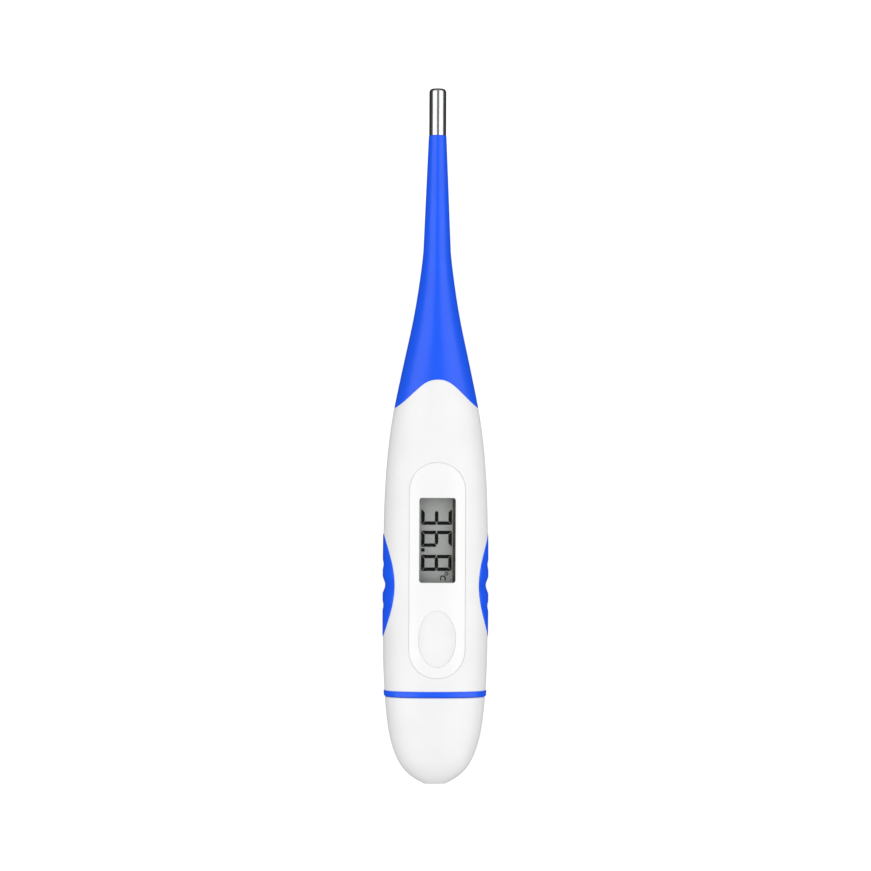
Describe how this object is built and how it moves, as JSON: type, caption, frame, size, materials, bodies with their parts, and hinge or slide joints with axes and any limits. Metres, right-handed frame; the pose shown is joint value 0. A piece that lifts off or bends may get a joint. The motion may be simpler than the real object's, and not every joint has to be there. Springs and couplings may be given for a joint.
{
  "type": "digital thermometer",
  "caption": "Slim stick thermometer with a flexible soft shaft, steel sensor tip, display window, oval power button, finger grips and a pull-off battery cap.",
  "frame": {"origin": "in the plane of the flat that the thermometer lies on, below the middle of its length and width", "axes": "+Y along the shaft to the sensor tip, +Z out of the display, +X to the right of the display seen from the front with the tip up"},
  "size_m": [0.0212, 0.139, 0.0126],
  "materials": {
    "white_shell": "moulded ABS, satin",
    "white_panel": "moulded ABS, glossy",
    "blue_rubber": "moulded TPE, satin",
    "steel": "drawn and polished stainless steel",
    "button_rubber": "moulded silicone, satin",
    "clear_window": "moulded clear PMMA",
    "window_adhesive": "foam adhesive ring",
    "lcd_glass": "float glass",
    "lcd_rear_glass": "float glass",
    "polariser": "stretched polymer film",
    "reflector": "silvered film, diffuse",
    "lcd_segments": "switched liquid crystal",
    "epoxy_seal": "epoxy line",
    "natural_plastic": "moulded ABS",
    "zebra_rubber": "layered silicone",
    "board": "glass epoxy with solder mask",
    "black_epoxy": "poured epoxy",
    "clear_epoxy": "poured epoxy",
    "chips": "fired ceramic",
    "brass": "rolled sheet",
    "ceramic": "fired ceramic",
    "lead_wire": "drawn enamelled copper",
    "switch_plastic": "moulded nylon",
    "nickel": "nickel plated spring steel",
    "cell_steel": "nickel plated steel"
  },
  "bodies": {
    "handle": {"front_shell": "white_shell", "back_shell": "white_shell", "front_panel": "white_panel", "display_window": "clear_window", "window_seal": "window_adhesive", "lcd_front_polariser": "polariser", "lcd_front_glass": "lcd_glass", "lcd_seal": "epoxy_seal", "lcd_digits": "lcd_segments", "lcd_rear_glass": "lcd_rear_glass", "lcd_rear_reflector": "reflector", "lcd_frame": "natural_plastic", "zebra_connector": "zebra_rubber", "circuit_board": "board", "chip_components": "chips", "controller_potting": "black_epoxy", "switch_base": "switch_plastic", "buzzer_plate": "brass", "buzzer_ceramic": "ceramic", "buzzer_leads": "lead_wire", "positive_contact": "nickel", "negative_contact": "nickel", "side_grip_left": "blue_rubber", "side_grip_right": "blue_rubber", "rear_collar": "natural_plastic", "seal_ring": "blue_rubber", "nose_core": "natural_plastic", "shaft_flare": "blue_rubber", "sensor_leads_handle": "lead_wire"},
    "shaft_1": {"shaft_segment_1": "blue_rubber", "sensor_leads_1": "lead_wire"},
    "shaft_2": {"shaft_segment_2": "blue_rubber", "sensor_leads_2": "lead_wire"},
    "shaft_3": {"shaft_segment_3": "blue_rubber", "sensor_leads_3": "lead_wire"},
    "tip": {"shaft_tip_sleeve": "blue_rubber", "sensor_cap": "steel", "thermistor_bead": "clear_epoxy", "sensor_potting": "clear_epoxy", "sensor_leads_4": "lead_wire"},
    "button": {"power_button": "button_rubber"},
    "plunger": {"switch_plunger": "switch_plastic"},
    "drawer": {"battery_drawer": "natural_plastic", "button_cell": "cell_steel"},
    "cap": {"battery_cap": "white_shell"}
  },
  "joints": [
    {"name": "sway_lower", "type": "hinge", "parent": "handle", "child": "shaft_1", "pos_m": [0, 0.0365, 0.0059], "axis": [0, 0, 1], "range_deg": [-10, 10], "stiffness_Nm_per_rad": 0.03},
    {"name": "lift_lower", "type": "hinge", "parent": "shaft_1", "child": "shaft_2", "pos_m": [0, 0.04175, 0.0059], "axis": [1, 0, 0], "range_deg": [-5, 10], "stiffness_Nm_per_rad": 0.03},
    {"name": "sway_upper", "type": "hinge", "parent": "shaft_2", "child": "shaft_3", "pos_m": [0, 0.047, 0.0059], "axis": [0, 0, 1], "range_deg": [-10, 10]},
    {"name": "lift_upper", "type": "hinge", "parent": "shaft_3", "child": "tip", "pos_m": [0, 0.05225, 0.0059], "axis": [1, 0, 0], "range_deg": [-5, 10]},
    {"name": "button_press", "type": "slide", "parent": "handle", "child": "button", "axis": [0, 0, -1], "range_m": [0, 0.0004], "stiffness_N_per_m": 2000, "springref_m": -0.0003},
    {"name": "plunger_press", "type": "slide", "parent": "handle", "child": "plunger", "axis": [0, 0, -1], "range_m": [0, 0.0004]},
    {"name": "drawer_slide", "type": "slide", "parent": "handle", "child": "drawer", "axis": [0, -1, 0], "range_m": [0, 0.006]},
    {"name": "cap_pull", "type": "slide", "parent": "drawer", "child": "cap", "axis": [0, -1, 0], "range_m": [0, 0.016]}
  ],
  "couplings": [
    {"joint": "sway_upper", "follows": "sway_lower", "ratio": 1},
    {"joint": "lift_upper", "follows": "lift_lower", "ratio": 1},
    {"joint": "plunger_press", "follows": "button_press", "ratio": 1}
  ]
}
